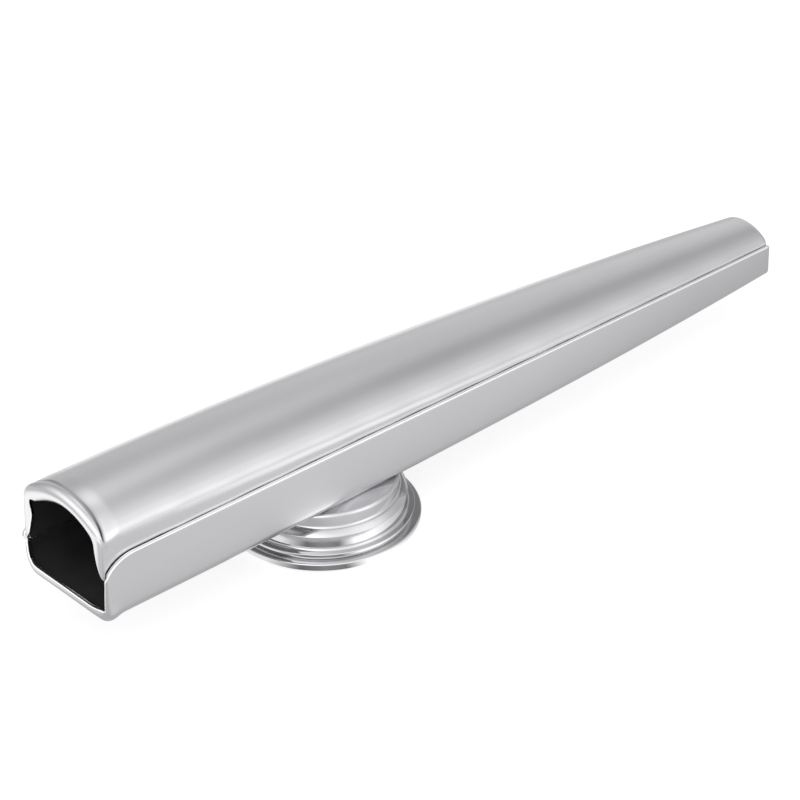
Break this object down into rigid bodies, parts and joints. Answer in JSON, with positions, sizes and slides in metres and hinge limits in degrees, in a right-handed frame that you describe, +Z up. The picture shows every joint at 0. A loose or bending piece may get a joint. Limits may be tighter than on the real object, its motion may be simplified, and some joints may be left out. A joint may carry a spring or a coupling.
{
  "type": "kazoo",
  "caption": "Pressed-metal kazoo: two lapped, tapering sheet shells with curled mouth lips, a stepped turret collar, a membrane on its ring and a screw cap.",
  "frame": {"origin": "centre of the bounding box's bottom: on the table under the middle of the body's length, in its middle plane", "axes": "+X from the mouth end to the narrow end, +Z up from the table through the flat face to the dome, +Y to the left of a viewer at the mouth end who looks along +X"},
  "size_m": [0.12, 0.0262, 0.0225],
  "materials": {
    "dome_plating": "satin nickel plating",
    "channel_plating": "satin nickel plating",
    "collar_chrome": "bright plating",
    "film": "thin translucent film",
    "ring_card": "plain card",
    "cap_chrome": "bright plating"
  },
  "bodies": {
    "body": {"domed_shell": "dome_plating", "flat_shell": "channel_plating", "turret_collar": "collar_chrome"},
    "membrane": {"membrane_film": "film", "membrane_ring": "ring_card"},
    "cap": {"screw_cap": "cap_chrome"}
  },
  "joints": [
    {"name": "cap_lift", "type": "slide", "parent": "body", "child": "membrane", "axis": [0, 0, -1], "range_m": [0, 0.0018]},
    {"name": "cap_turn", "type": "hinge", "parent": "membrane", "child": "cap", "pos_m": [-0.0177, 0, 0.0024], "axis": [0, 0, -1], "range_deg": [0, 720]}
  ],
  "couplings": [
    {"joint": "cap_lift", "follows": "cap_turn", "m_per_rad": 0.00014323}
  ]
}
